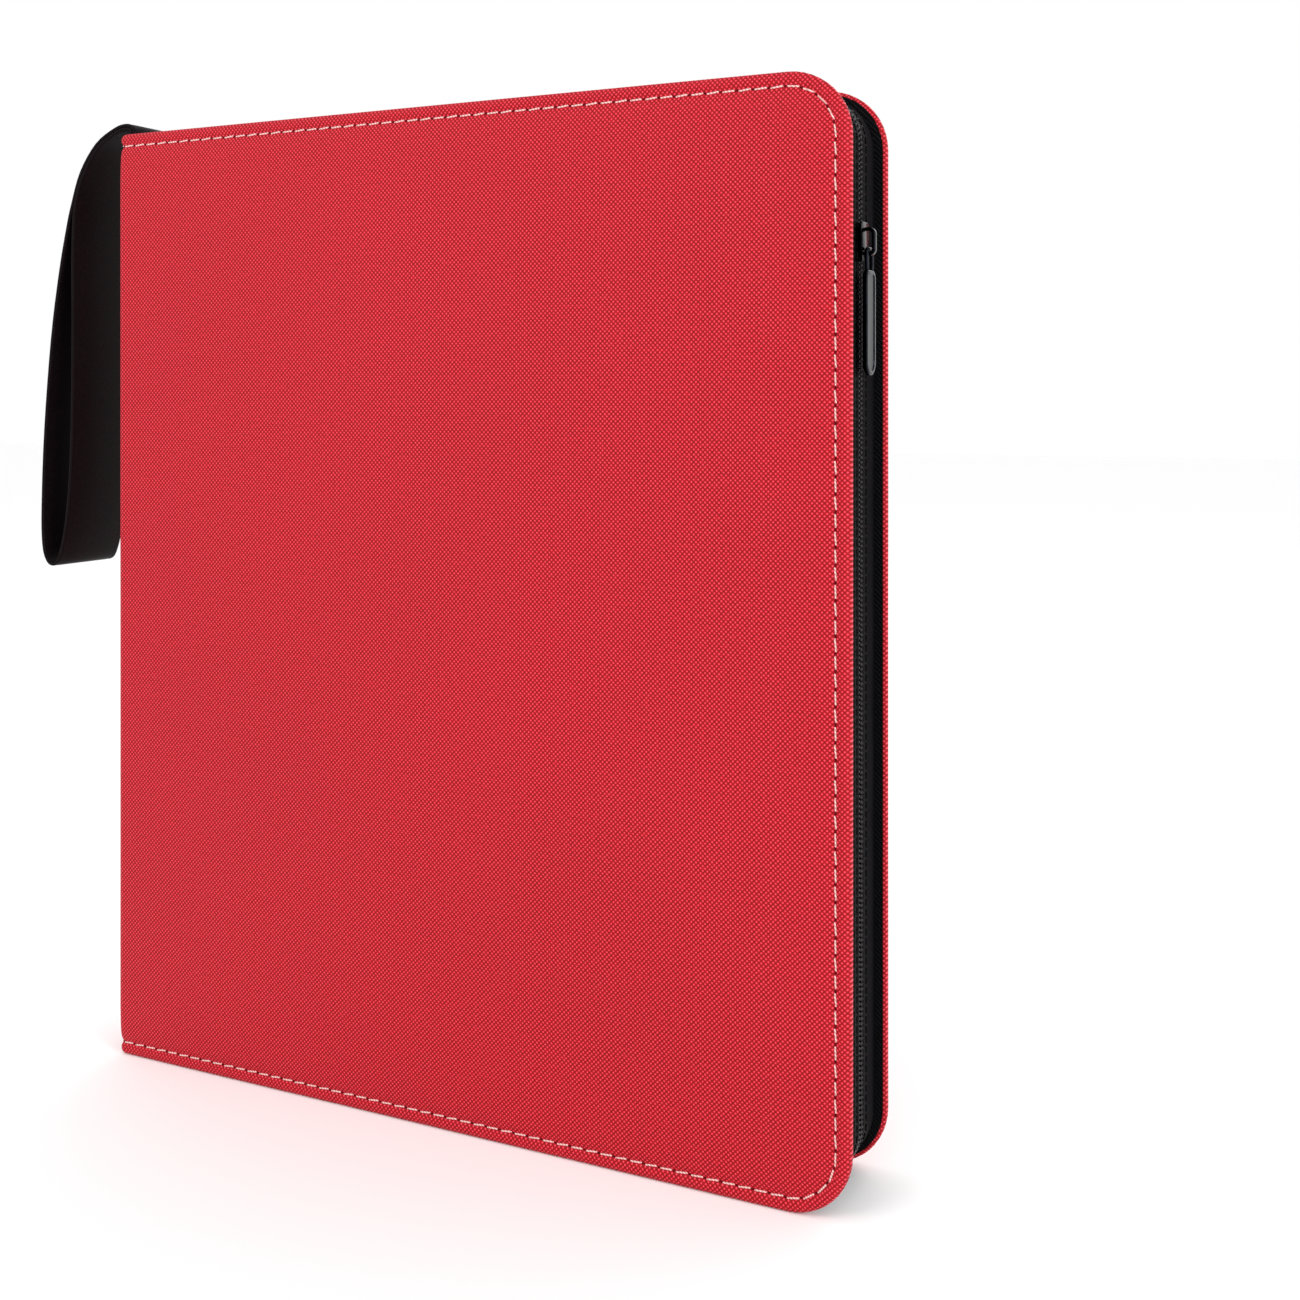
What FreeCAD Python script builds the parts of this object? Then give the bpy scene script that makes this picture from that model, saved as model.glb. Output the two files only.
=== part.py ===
"""Zip-up trading card binder: padded covers, spine, zipper, wrist strap, rings and pages.

Frame, in millimetres: +X runs from the spine to the fore-edge, Y through the thickness with
the front cover on -Y, and +Z up. The origin is the middle of the spine's bottom edge, so the
binder stands on Z = 0 with its covers shut.
"""
import FreeCAD
import Part

import math
import os

V = FreeCAD.Vector

# Outside of the case
HEIGHT = 340.0
SPINE_OUT = -2.0            # outer face of the spine, in X
FORE_EDGE = 281.0           # outer edge of the covers, in X
HALF = 20.0                 # half of the shut thickness
CORNER = 20.0               # corner radius of the covers
WALL = 4.0                  # cover and spine thickness, outside to lining
MITRE = 0.25                # clearance of the mitred hinge lines

# Layers of a wall, from the outside in
SKIN = 0.8
FOAM = 1.2
LINING = 0.5

# Gusset and zipper
GUSSET_IN = 4.0             # gusset's outer face, behind the cover's edge
GUSSET_THICK = 1.0
GUSSET_START = 9.3          # where the cover's gusset begins, in X
GUSSET_LIP = 5.0            # gusset's free edge, from the middle plane
TAPE_THICK = 0.6
TAPE_SEAM = 7.0             # tape overlaps the gusset as far out as this, from the middle plane
CHAIN_OUT = 1.9             # chain half, from the middle plane
CHAIN_GAP = 0.45
CHAIN_THICK = 1.4
CHAIN_START = 14.0

# Slider and pull
SLIDER_Z = 290.0
SLIDER_LONG = 12.0
SLIDER_HALF = 4.0
PLATE_THICK = 0.8
PLATE_GAP = 0.5             # clearance of each slider plate from the chain
BAIL_LONG = 8.8
BAIL_WIRE = 1.2
BAIL_RISE = 3.4
PULL_LONG = 32.0
PULL_WIDE = 9.0
PULL_THICK = 1.5
PULL_LINK = 0.6             # radius of the link's wire
PULL_LEG = 6.4              # from the pivot down to the tab

# Ring mechanism
RING_X = 19.0
RING_R = 12.7
WIRE_R = 1.2
RING_PITCH = 108.0
RING_FOOT_Y = 7.5           # where each half ring enters the cover plate
BLADE_LOW = 4.2
BLADE_THICK = 1.2
BLADE_HALF = 11.0
HOUSING_ENDS = (28.0, 312.0)
LEVER_PIVOT_X = 4.2
LEVER_PIVOT_Z = 25.0
RIVET_Z = (46.0, 294.0)

# Pages and cards
PAGE_PLANES = (7.0, 5.0, 3.0, 1.0)
PAGE_THICK = 0.9
PAGE_LONG = 235.0
PAGE_Z = (24.0, 316.0)
HOLE_EDGE = 7.0             # hole centre, from the page's bound edge
HOLE_R = 4.0
BOUND_STRIP = 20.0
POCKET_X = 71.0
POCKET_Z = 96.0
CAVITY = (67.0, 0.5, 92.0)
CARD = (63.5, 0.36, 88.9)

# Strap
STRAP_HALF = 15.0
STRAP_THICK = 1.3
STRAP_PIVOT = (0.1, 341.0)

MIDDLE = HEIGHT / 2
RING_Z = (MIDDLE - RING_PITCH, MIDDLE, MIDDLE + RING_PITCH)
INNER = HALF - WALL


def box(x0, x1, y0, y1, z0, z1):
    return Part.makeBox(x1 - x0, y1 - y0, z1 - z0, V(x0, y0, z0))


def prism_xy(points, z0, z1):
    wire = Part.makePolygon([V(x, y, z0) for x, y in points + points[:1]])
    return Part.Face(wire).extrude(V(0, 0, z1 - z0))


def prism_xz(points, y0, y1):
    wire = Part.makePolygon([V(x, y0, z) for x, z in points + points[:1]])
    return Part.Face(wire).extrude(V(0, y1 - y0, 0))


def flip(shape):
    """The same shape for the other cover."""
    return shape.mirror(V(0, 0, 0), V(0, 1, 0))


def cover_block(inset, x0, y0, y1):
    """A cover-shaped block with its three free edges and two round corners moved in by inset."""
    r = CORNER - inset
    x1 = FORE_EDGE - inset
    low, high = inset, HEIGHT - inset
    s = r * math.sqrt(0.5)
    edges = [
        Part.LineSegment(V(x0, y0, low), V(x1 - r, y0, low)),
        Part.Arc(V(x1 - r, y0, low), V(x1 - r + s, y0, low + r - s), V(x1, y0, low + r)),
        Part.LineSegment(V(x1, y0, low + r), V(x1, y0, high - r)),
        Part.Arc(V(x1, y0, high - r), V(x1 - r + s, y0, high - r + s), V(x1 - r, y0, high)),
        Part.LineSegment(V(x1 - r, y0, high), V(x0, y0, high)),
        Part.LineSegment(V(x0, y0, high), V(x0, y0, low)),
    ]
    wire = Part.Wire([e.toShape() for e in edges])
    return Part.Face(wire).extrude(V(0, y1 - y0, 0))


def edge_band(out, thick, x0, y0, y1):
    """A thin wall round the three free edges, from out to out + thick behind the cover's edge.

    It is one solid for each straight run and one for each round corner, end to end.
    """
    band = cover_block(out, x0, y0, y1).cut(cover_block(out + thick, x0 - 1, y0 - 1, y1 + 1))
    bend, low, high = FORE_EDGE - CORNER, CORNER, HEIGHT - CORNER
    zones = [
        (x0 - 1, bend, 0, low),
        (bend, FORE_EDGE, 0, low),
        (bend, FORE_EDGE, low, high),
        (bend, FORE_EDGE, high, HEIGHT),
        (x0 - 1, bend, high, HEIGHT),
    ]
    return Part.makeCompound([band.common(box(a, b, y0, y1, c, d)) for a, b, c, d in zones])


# ---- Covers -------------------------------------------------------------------------------

def hinge_cut(on_cover):
    """What the 45 degree hinge line takes off the front cover (True) or off the spine (False)."""
    x, y, far = SPINE_OUT, -HALF, 60.0
    if on_cover:
        points = [(x + MITRE - 9, y - 9), (x + MITRE + far, y + far), (x - 9, y + far)]
    else:
        points = [(x - 9, y + MITRE - 9), (x + far, y + MITRE + far), (x + far, y - 9)]
    return prism_xy(points, -1, HEIGHT + 1)


def front_cover():
    """The five layers of the front cover: skin turned over the edges, foam, board, lining."""
    out = -HALF
    layers = {
        "skin": cover_block(0, SPINE_OUT, out, -INNER).cut(
            cover_block(SKIN, SPINE_OUT - 1, out + SKIN, -INNER + 1)),
        "foam": cover_block(SKIN, SPINE_OUT, out + SKIN, out + SKIN + FOAM),
        "board": cover_block(SKIN, SPINE_OUT, out + SKIN + FOAM, -INNER - LINING),
        "lining": cover_block(SKIN, SPINE_OUT, -INNER - LINING, -INNER),
    }
    cut = hinge_cut(True)
    return {name: shape.cut(cut) for name, shape in layers.items()}


def front_zip_side():
    """Gusset wall, zip tape, chain half and end stops that ride on the front cover."""
    chain_mid = GUSSET_IN - TAPE_THICK / 2
    chain_out = chain_mid - CHAIN_THICK / 2
    stops = []
    for z in (chain_out - 0.2, HEIGHT - chain_out - CHAIN_THICK - 0.2):
        stops.append(box(CHAIN_START - 3, CHAIN_START, -CHAIN_OUT - 0.2, -CHAIN_GAP,
                         z, z + CHAIN_THICK + 0.4))
    tape = edge_band(GUSSET_IN - TAPE_THICK, TAPE_THICK, GUSSET_START, -TAPE_SEAM, -CHAIN_OUT)
    for stop in stops:
        tape = tape.cut(stop)
    return {
        "gusset": edge_band(GUSSET_IN, GUSSET_THICK, GUSSET_START, -INNER, -GUSSET_LIP),
        "zip_tape": tape,
        "zip_chain": edge_band(chain_out, CHAIN_THICK, CHAIN_START, -CHAIN_OUT, -CHAIN_GAP),
        "zip_stops": Part.makeCompound(stops),
    }


# ---- Spine --------------------------------------------------------------------------------

def spine_wall():
    inside = SPINE_OUT + WALL
    slot = box(SPINE_OUT + SKIN, inside + 1, -STRAP_HALF - 0.3, STRAP_HALF + 0.3,
               HEIGHT - SKIN - 1, HEIGHT + 1)
    notch = box(SPINE_OUT, inside - LINING, -STRAP_HALF, STRAP_HALF, HEIGHT - 22, HEIGHT)
    low, high = SKIN, HEIGHT - SKIN
    x1, x2 = SPINE_OUT + SKIN, inside - LINING
    parts = {
        "spine_skin": box(SPINE_OUT, inside, -HALF, HALF, 0, HEIGHT).cut(
            box(x1, inside + 1, -HALF - 1, HALF + 1, low, high)).cut(slot),
        "spine_board": box(x1, x2, -HALF, HALF, low, high).cut(notch),
        "spine_lining": box(x2, inside, -HALF, HALF, low, high),
    }
    cuts = [hinge_cut(False), flip(hinge_cut(False))]
    for name in parts:
        for cut in cuts:
            parts[name] = parts[name].cut(cut)
    for z in RIVET_Z:
        bore = Part.makeCylinder(1.5, WALL - SKIN, V(x1, 0, z), V(1, 0, 0))
        parts["spine_board"] = parts["spine_board"].cut(bore)
        parts["spine_lining"] = parts["spine_lining"].cut(bore)
    parts["strap_anchor"] = box(x1, x2, -STRAP_HALF, STRAP_HALF, HEIGHT - 22,
                                STRAP_PIVOT[1] - STRAP_THICK - 0.3)
    return parts


def spine_end_gussets():
    """The fabric end walls that close the gusset across the spine, top and bottom."""
    x0, x1 = SPINE_OUT + WALL, GUSSET_START - 0.3
    walls = []
    for z in (GUSSET_IN, HEIGHT - GUSSET_IN - GUSSET_THICK):
        walls.append(box(x0, x1, -INNER + 3, INNER - 3, z, z + GUSSET_THICK))
    return Part.makeCompound(walls)


# ---- Ring mechanism -----------------------------------------------------------------------

def ring_housing():
    """The sprung, arched cover plate, with an ear each side of both levers."""
    base = SPINE_OUT + WALL
    top = base + 6
    outer = [(base, -13), (base + 4, -12.2), (top, -10), (top, 10), (base + 4, 12.2), (base, 13)]
    inner = [(base - 1, -12.1), (base + 3.7, -11.4), (top - 0.8, -9.6),
             (top - 0.8, 9.6), (base + 3.7, 11.4), (base - 1, 12.1)]
    z0, z1 = HOUSING_ENDS
    plate = prism_xy(outer, z0, z1).cut(prism_xy(inner, z0 - 1, z1 + 1))
    for side in (-1, 1):
        for z in RING_Z:
            plate = plate.cut(
                Part.makeCylinder(2.2, 6, V(top - 3, side * RING_FOOT_Y, z), V(1, 0, 0)))
    for z in RIVET_Z:
        plate = plate.cut(Part.makeCylinder(1.5, 4, V(top - 2, 0, z), V(1, 0, 0)))
    for side in (-1, 1):
        y0, y1 = sorted((side * 6.7, side * 7.5))
        for low, high in ((z0 - 6.5, z0 + 1), (z1 - 1, z1 + 6.5)):
            ear = box(base, top, y0, y1, low, high)
            pivot_z = LEVER_PIVOT_Z if low < MIDDLE else HEIGHT - LEVER_PIVOT_Z
            ear = ear.cut(Part.makeCylinder(1.0, 20, V(LEVER_PIVOT_X, -10, pivot_z), V(0, 1, 0)))
            plate = plate.fuse(ear)
    return plate.removeSplitter()


def ring_rivets():
    base = SPINE_OUT + SKIN
    top = SPINE_OUT + WALL + 6
    rivets = []
    for z in RIVET_Z:
        shank = Part.makeCylinder(1.5, top - base, V(base, 0, z), V(1, 0, 0))
        head = Part.makeCylinder(3.6, 1.1, V(top, 0, z), V(1, 0, 0))
        head = head.makeFillet(0.8, [e for e in head.Edges if e.BoundBox.XMin > top + 1])
        rivets.append(shank.fuse(head).removeSplitter())
    return Part.makeCompound(rivets)


def front_blade():
    z0, z1 = HOUSING_ENDS
    blade = box(BLADE_LOW, BLADE_LOW + BLADE_THICK, -BLADE_HALF, -0.2, z0 + 2, z1 - 2)
    for z in RIVET_Z:
        blade = blade.cut(Part.makeCylinder(3.0, 4, V(BLADE_LOW - 1, 0, z), V(1, 0, 0)))
    return blade


def front_half_rings():
    """Three half rings, each an arc from the middle plane down to a short straight foot."""
    foot = math.asin(RING_FOOT_Y / RING_R)
    start = 0.5
    sweep = 180 - math.degrees(foot) - start
    foot_x = RING_X - RING_R * math.cos(foot)
    halves = []
    for z in RING_Z:
        section = Part.Face(Part.Wire(Part.makeCircle(WIRE_R, V(RING_X + RING_R, 0, z), V(0, 1, 0))))
        section.rotate(V(RING_X, 0, z), V(0, 0, -1), start)
        arc = section.revolve(V(RING_X, 0, z), V(0, 0, -1), sweep)
        blade_top = BLADE_LOW + BLADE_THICK
        post = Part.makeCylinder(WIRE_R, foot_x - blade_top, V(blade_top, -RING_FOOT_Y, z), V(1, 0, 0))
        knee = Part.makeSphere(WIRE_R, V(foot_x, -RING_FOOT_Y, z))
        halves.append(arc.fuse(knee).fuse(post))
    return Part.makeCompound(halves)


def bottom_lever():
    """The trigger at the housing's end: a foot under the plate and a sloping finger tab."""
    x, z = LEVER_PIVOT_X, LEVER_PIVOT_Z
    profile = [(x - 1.5, z + 4.4), (x - 0.4, z + 4.4), (x + 1.9, z + 1.2), (x + 2.3, z - 0.6),
               (x + 5.6, z - 13.5), (x + 4.6, z - 14.2), (x + 0.6, z - 2.2), (x - 1.6, z - 0.6)]
    lever = prism_xz(profile, -6.3, 6.3)
    return lever.cut(Part.makeCylinder(1.05, 20, V(x, -10, z), V(0, 1, 0)))


def top_of(shape):
    """The same shape at the other end of the spine."""
    return shape.mirror(V(0, 0, MIDDLE), V(0, 0, 1))


def lever_pins():
    pins = []
    for z in (LEVER_PIVOT_Z, HEIGHT - LEVER_PIVOT_Z):
        pins.append(Part.makeCylinder(1.0, 15.6, V(LEVER_PIVOT_X, -7.8, z), V(0, 1, 0)))
    return Part.makeCompound(pins)


# ---- Pages and cards ----------------------------------------------------------------------

def hole_x(plane):
    """Where a page at this distance from the middle plane hangs on the rings."""
    return RING_X + math.sqrt(RING_R ** 2 - plane ** 2)


def pocket_cells(plane):
    x0 = hole_x(plane) - HOLE_EDGE + BOUND_STRIP
    z0 = PAGE_Z[0] + 2
    for row in range(3):
        for column in range(3):
            yield x0 + (column + 0.5) * POCKET_X, z0 + (row + 0.5) * POCKET_Z


def front_page(plane):
    """One sleeve with three punched holes and nine pockets, each open by a slit at its top."""
    x0 = hole_x(plane) - HOLE_EDGE
    sheet = box(x0, x0 + PAGE_LONG, -plane - PAGE_THICK / 2, -plane + PAGE_THICK / 2, *PAGE_Z)
    upright = [e for e in sheet.Edges if e.BoundBox.YLength > PAGE_THICK / 2]
    sheet = sheet.makeFillet(4.0, upright)
    for z in RING_Z:
        sheet = sheet.cut(Part.makeCylinder(HOLE_R, 4, V(hole_x(plane), -plane - 2, z), V(0, 1, 0)))
    wide, deep, tall = CAVITY
    for x, z in pocket_cells(plane):
        pocket = box(x - wide / 2, x + wide / 2, -plane - deep / 2, -plane + deep / 2,
                     z - tall / 2, z + tall / 2)
        slit = box(x - wide / 2, x + wide / 2, -plane - PAGE_THICK, -plane,
                   z + tall / 2 - 1.5, z + tall / 2)
        sheet = sheet.cut(pocket).cut(slit)
    return sheet


def front_cards(plane):
    wide, deep, tall = CARD
    cards = []
    for x, z in pocket_cells(plane):
        low = z - CAVITY[2] / 2 + 0.2
        cards.append(box(x - wide / 2, x + wide / 2, -plane - deep / 2, -plane + deep / 2,
                         low, low + tall))
    return Part.makeCompound(cards)


# ---- Zip slider and pull ------------------------------------------------------------------

def slider_levels():
    """Undersides of the slider's inner and outer plates, in X."""
    chain_mid = FORE_EDGE - GUSSET_IN + TAPE_THICK / 2
    reach = CHAIN_THICK / 2 + PLATE_GAP
    return chain_mid - reach - PLATE_THICK, chain_mid + reach


def slider_body():
    """Two plates joined by a thin wedge between the chain halves, wide at the top."""
    inner, outer = slider_levels()
    low = SLIDER_Z - SLIDER_LONG / 2
    high = low + SLIDER_LONG
    outline = [(-2.9, low), (2.9, low), (SLIDER_HALF, high - 4), (SLIDER_HALF, high - 1),
               (2.4, high), (-2.4, high), (-SLIDER_HALF, high - 1), (-SLIDER_HALF, high - 4)]

    def plate(x0):
        wire = Part.makePolygon([V(x0, y, z) for y, z in outline + outline[:1]])
        return Part.Face(wire).extrude(V(PLATE_THICK, 0, 0))

    wedge = box(inner + 0.1, outer + 0.1, -0.3, 0.3, high - 5, high - 0.5)
    return plate(inner).fuse(plate(outer)).fuse(wedge).removeSplitter()


def slider_bail():
    """The arch on the slider's outer plate that the pull hooks through."""
    base = slider_levels()[1] + PLATE_THICK
    low = SLIDER_Z - BAIL_LONG / 2
    high = SLIDER_Z + BAIL_LONG / 2
    arch = box(base, base + BAIL_RISE, -0.9, 0.9, low, high)
    corners = [e for e in arch.Edges if e.BoundBox.YLength > 1 and e.BoundBox.XMin > base + 1]
    arch = arch.makeFillet(2.0, corners)
    window = box(base, base + BAIL_RISE - BAIL_WIRE, -2, 2, low + BAIL_WIRE, high - BAIL_WIRE)
    corners = [e for e in window.Edges if e.BoundBox.YLength > 1 and e.BoundBox.XMin > base + 1]
    return arch.cut(window.makeFillet(1.0, corners))


def pull_pivot():
    base = slider_levels()[1] + PLATE_THICK
    return base + 1.25, SLIDER_Z - BAIL_LONG / 2 + BAIL_WIRE + PULL_LINK + 0.35


def pull_link():
    """A wire staple: its crossbar hangs in the bail and its two legs carry the tab."""
    x, z = pull_pivot()
    leg, bend = 2.5, 1.0
    s = bend * (1 - math.sqrt(0.5))
    path = [
        Part.LineSegment(V(x, -leg, z - PULL_LEG), V(x, -leg, z - bend)),
        Part.Arc(V(x, -leg, z - bend), V(x, s - leg, z - s), V(x, bend - leg, z)),
        Part.LineSegment(V(x, bend - leg, z), V(x, leg - bend, z)),
        Part.Arc(V(x, leg - bend, z), V(x, leg - s, z - s), V(x, leg, z - bend)),
        Part.LineSegment(V(x, leg, z - bend), V(x, leg, z - PULL_LEG)),
    ]
    section = Part.Wire(Part.makeCircle(PULL_LINK, V(x, -leg, z - PULL_LEG), V(0, 0, 1)))
    return Part.Wire([e.toShape() for e in path]).makePipeShell([section], True, False)


def pull_tab():
    """The long tab with round ends, hanging flat against the zipper."""
    x, z = pull_pivot()
    top = z - PULL_LEG
    half = PULL_WIDE / 2
    low = top - PULL_LONG
    x0 = x - PULL_THICK / 2
    shoulder = 3.0
    edges = [
        Part.LineSegment(V(x0, half, low + half), V(x0, half, top - shoulder)),
        Part.Arc(V(x0, half, top - shoulder), V(x0, half - 0.9, top - 0.9), V(x0, half - shoulder, top)),
        Part.LineSegment(V(x0, half - shoulder, top), V(x0, shoulder - half, top)),
        Part.Arc(V(x0, shoulder - half, top), V(x0, 0.9 - half, top - 0.9), V(x0, -half, top - shoulder)),
        Part.LineSegment(V(x0, -half, top - shoulder), V(x0, -half, low + half)),
        Part.Arc(V(x0, -half, low + half), V(x0, 0, low), V(x0, half, low + half)),
    ]
    tab = Part.Face(Part.Wire([e.toShape() for e in edges])).extrude(V(PULL_THICK, 0, 0))
    return tab.makeChamfer(0.3, tab.Edges)


# ---- Strap --------------------------------------------------------------------------------

def offset_line(points, distance, count):
    """Points at a distance to the left of the smooth line through points in XZ."""
    curve = Part.BSplineCurve()
    curve.interpolate([V(x, 0, z) for x, z in points])
    line = []
    for i in range(count + 1):
        t = curve.FirstParameter + (curve.LastParameter - curve.FirstParameter) * i / count
        p, d = curve.value(t), curve.tangent(t)[0]
        line.append((p.x - distance * d.z, p.z + distance * d.x))
    return line


def ribbon(points, thick, y0, y1, count):
    """A flat ribbon of constant thickness along the smooth line through points in XZ."""
    left = offset_line(points, thick / 2, count)
    right = offset_line(points, -thick / 2, count)
    return prism_xz(left + right[::-1], y0, y1)


def hand_strap():
    """A ribbon, doubled over the spine's top edge and open below in a hanging loop."""
    x, z = STRAP_PIVOT
    y0, y1 = -STRAP_HALF, STRAP_HALF
    double = [(x, z), (x - 0.8, z + 1.8), (x - 3.4, z + 2.6), (x - 8.5, z + 1.6),
              (x - 17.5, z - 3.4), (x - 25.2, z - 13.2), (x - 29.7, z - 25.0)]
    outer_run = [(-29.6, 317.6), (-32.8, 307.0), (-36.6, 290.0), (-40.7, 265.0), (-44.2, 230.0),
                 (-45.6, 200.0), (-45.0, 185.0), (-41.0, 178.6)]
    inner_run = [(-42.3, 179.2), (-40.2, 178.5), (-37.2, 181.2), (-34.0, 192.0), (-31.6, 210.0),
                 (-30.4, 235.0), (-30.0, 270.0), (-30.1, 297.0), (-29.8, 310.0), (-28.9, 317.4)]
    strap = ribbon(double, 2 * STRAP_THICK, y0, y1, 24)
    strap = strap.fuse(Part.makeCylinder(STRAP_THICK, y1 - y0, V(x, y0, z), V(0, 1, 0)))
    for run in (outer_run, inner_run):
        strap = strap.fuse(ribbon(run, STRAP_THICK, y0, y1, 48))
    return strap


# ---- Assembly -----------------------------------------------------------------------------

def build():
    nodes = dict(spine_wall())
    nodes["spine_end_gussets"] = spine_end_gussets()
    nodes["ring_housing"] = ring_housing()
    nodes["ring_rivets"] = ring_rivets()
    nodes["lever_pins"] = lever_pins()
    nodes["hand_strap"] = hand_strap()
    halves = dict(front_cover())
    halves.update(front_zip_side())
    halves["blade"] = front_blade()
    halves["half_rings"] = front_half_rings()
    for name, shape in halves.items():
        nodes["front_" + name] = shape
        nodes["back_" + name] = flip(shape)
    nodes["bottom_lever"] = bottom_lever()
    nodes["top_lever"] = top_of(bottom_lever())
    nodes["slider_body"] = slider_body()
    nodes["slider_bail"] = slider_bail()
    nodes["pull_link"] = pull_link()
    nodes["pull_tab"] = pull_tab()
    for index, plane in enumerate(PAGE_PLANES):
        sleeve, cards = front_page(plane), front_cards(plane)
        nodes["page_%d" % (index + 1)] = sleeve
        nodes["cards_%d" % (index + 1)] = cards
        nodes["page_%d" % (8 - index)] = flip(sleeve)
        nodes["cards_%d" % (8 - index)] = flip(cards)
    return nodes


os.makedirs("parts", exist_ok=True)
for name, shape in build().items():
    if not shape.isValid():
        print("not valid:", name)
    shape.exportStep("parts/" + name + ".step")
    b = shape.BoundBox
    print("%-18s %2d solids %9.1f mm3  x %.1f %.1f  y %.1f %.1f  z %.1f %.1f" % (
        name, len(shape.Solids), shape.Volume, b.XMin, b.XMax, b.YMin, b.YMax, b.ZMin, b.ZMax))
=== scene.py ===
# %% [markdown]
# # A zip-up trading card binder
# The object is a padded album for trading cards: two stiff covers and a spine wrapped in red
# grained PU, a zipper round three sides, a wrist strap on the spine, three chrome rings and
# eight nine-pocket pages inside. Each piece is modelled where it belongs in the imported CAD
# frame, and most are then told which body they move with; the wrap, its stitching, the end
# gussets and the hinge linings are not. Pieces are measured in millimetres and turned to
# metres when finished. Cameras and lights are in metres.

# %% Load the frame
import math

import bmesh
import bpy
from mathutils import Matrix, Vector, noise


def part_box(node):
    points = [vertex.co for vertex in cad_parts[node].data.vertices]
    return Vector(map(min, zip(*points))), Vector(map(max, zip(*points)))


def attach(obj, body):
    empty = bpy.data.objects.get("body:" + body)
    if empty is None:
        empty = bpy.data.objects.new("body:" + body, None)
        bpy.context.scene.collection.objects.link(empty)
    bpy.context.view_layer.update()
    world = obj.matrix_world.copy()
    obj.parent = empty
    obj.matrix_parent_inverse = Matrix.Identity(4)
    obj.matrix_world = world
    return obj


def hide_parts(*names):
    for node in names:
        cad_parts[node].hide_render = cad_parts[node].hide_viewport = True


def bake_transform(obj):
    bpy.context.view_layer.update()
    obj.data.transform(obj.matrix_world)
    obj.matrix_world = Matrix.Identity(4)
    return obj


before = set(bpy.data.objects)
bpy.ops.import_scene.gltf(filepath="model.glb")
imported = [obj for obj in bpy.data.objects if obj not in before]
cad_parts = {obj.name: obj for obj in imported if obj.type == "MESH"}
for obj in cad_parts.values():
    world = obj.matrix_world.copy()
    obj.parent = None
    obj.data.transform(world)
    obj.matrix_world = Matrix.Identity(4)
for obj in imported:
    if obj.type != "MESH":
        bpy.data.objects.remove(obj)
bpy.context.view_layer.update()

MM = 0.001

# %% [markdown]
# ## Sizes
# The sizes below repeat the CAD model's: a cover's outline, and where the gusset and the
# zipper begin. The spine's bottom middle is the origin, +X runs to the fore-edge, and the
# front cover is on -Y.

# %% Sizes of the case
HEIGHT = 340.0
FORE_EDGE = 281.0
HALF = 20.0         # half of the shut thickness
SPINE_OUT = -2.0    # outer face of the spine, in X
CORNER = 20.0       # radius of the covers' corners
GUSSET_START = 9.3  # where the gusset and the zip tape begin, in X
CHAIN_START = 14.0  # where the zipper teeth begin, in X
LINING_INSET = 0.9  # from the case's edge to the lining's, 0.1 more than in the CAD
SIDES = {"front": -1, "back": 1}
skin_low, skin_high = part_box("front_skin")
for corner, place in (("low", skin_low), ("high", skin_high)):
    print("front cover, %s corner in mm:" % corner, [round(v / MM, 1) for v in place])

# %% [markdown]
# ## Camera
# A normal lens 0.24 m up, in front of the cover and past the fore-edge, turned 26 degrees
# to face it. It stays level, so that the cover's upright edges stay upright, and its view is
# shifted down, as a studio shift lens does, to hold the whole binder in the frame.

# %% Camera
camera_data = bpy.data.cameras.new("camera")
camera_data.lens = 43.5
camera_data.sensor_width = 36.0
camera_data.shift_y = -0.195
camera = bpy.data.objects.new("camera", camera_data)
camera.location = (0.427, -0.4585, 0.243)
camera.rotation_euler = (math.radians(90), 0, math.radians(25.66))
bpy.context.scene.collection.objects.link(camera)
bpy.context.scene.camera = camera
print("camera at", tuple(camera.location))

# %% [markdown]
# ## Studio
# A pale floor that runs to a pale sky, one wide soft light high in front of the cover, one
# beside the fore-edge to draw highlights on the zipper, and a weak one behind.
# Area lights are used because they light a product as soft boxes do.

# %% Studio
def srgb(code):
    """A colour written as sRGB hex, turned to the linear values that shaders use."""
    values = [int(code[i:i + 2], 16) / 255 for i in (1, 3, 5)]
    linear = [v / 12.92 if v <= 0.04045 else ((v + 0.055) / 1.055) ** 2.4 for v in values]
    return (*linear, 1.0)


def add_node(tree, kind, settings=None, inputs=None):
    """Add a shader node, set its properties, then set or link each input by name or number."""
    made = tree.nodes.new(kind)
    for key, value in (settings or {}).items():
        setattr(made, key, value)
    for key, value in (inputs or {}).items():
        if isinstance(value, bpy.types.NodeSocket):
            tree.links.new(value, made.inputs[key])
        else:
            made.inputs[key].default_value = value
    return made


def new_material(name):
    """An empty node material: its tree, and its Principled shader joined to the output."""
    material = bpy.data.materials.new(name)
    material.use_nodes = True
    tree = material.node_tree
    tree.nodes.clear()
    shader = add_node(tree, "ShaderNodeBsdfPrincipled")
    add_node(tree, "ShaderNodeOutputMaterial", inputs={"Surface": shader.outputs[0]})
    return material, tree, shader


world = bpy.data.worlds.new("studio")
world.use_nodes = True
sky = world.node_tree.nodes["Background"]
sky.inputs["Color"].default_value = srgb("#ffffff")
sky.inputs["Strength"].default_value = 1.0
bpy.context.scene.world = world
bpy.context.scene.view_settings.view_transform = "Standard"

FLOOR_HALF = 6.0  # metres
floor_paint, _, floor_shader = new_material("matte_white_floor")
floor_shader.inputs["Base Color"].default_value = srgb("#fdfdfd")
floor_shader.inputs["Roughness"].default_value = 0.9
floor_mesh = bmesh.new()
bmesh.ops.create_grid(floor_mesh, x_segments=1, y_segments=1, size=FLOOR_HALF)
floor_data = bpy.data.meshes.new("floor")
floor_mesh.to_mesh(floor_data)
floor_mesh.free()
floor = bpy.data.objects.new("floor", floor_data)
floor.data.materials.append(floor_paint)
bpy.context.scene.collection.objects.link(floor)

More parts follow.
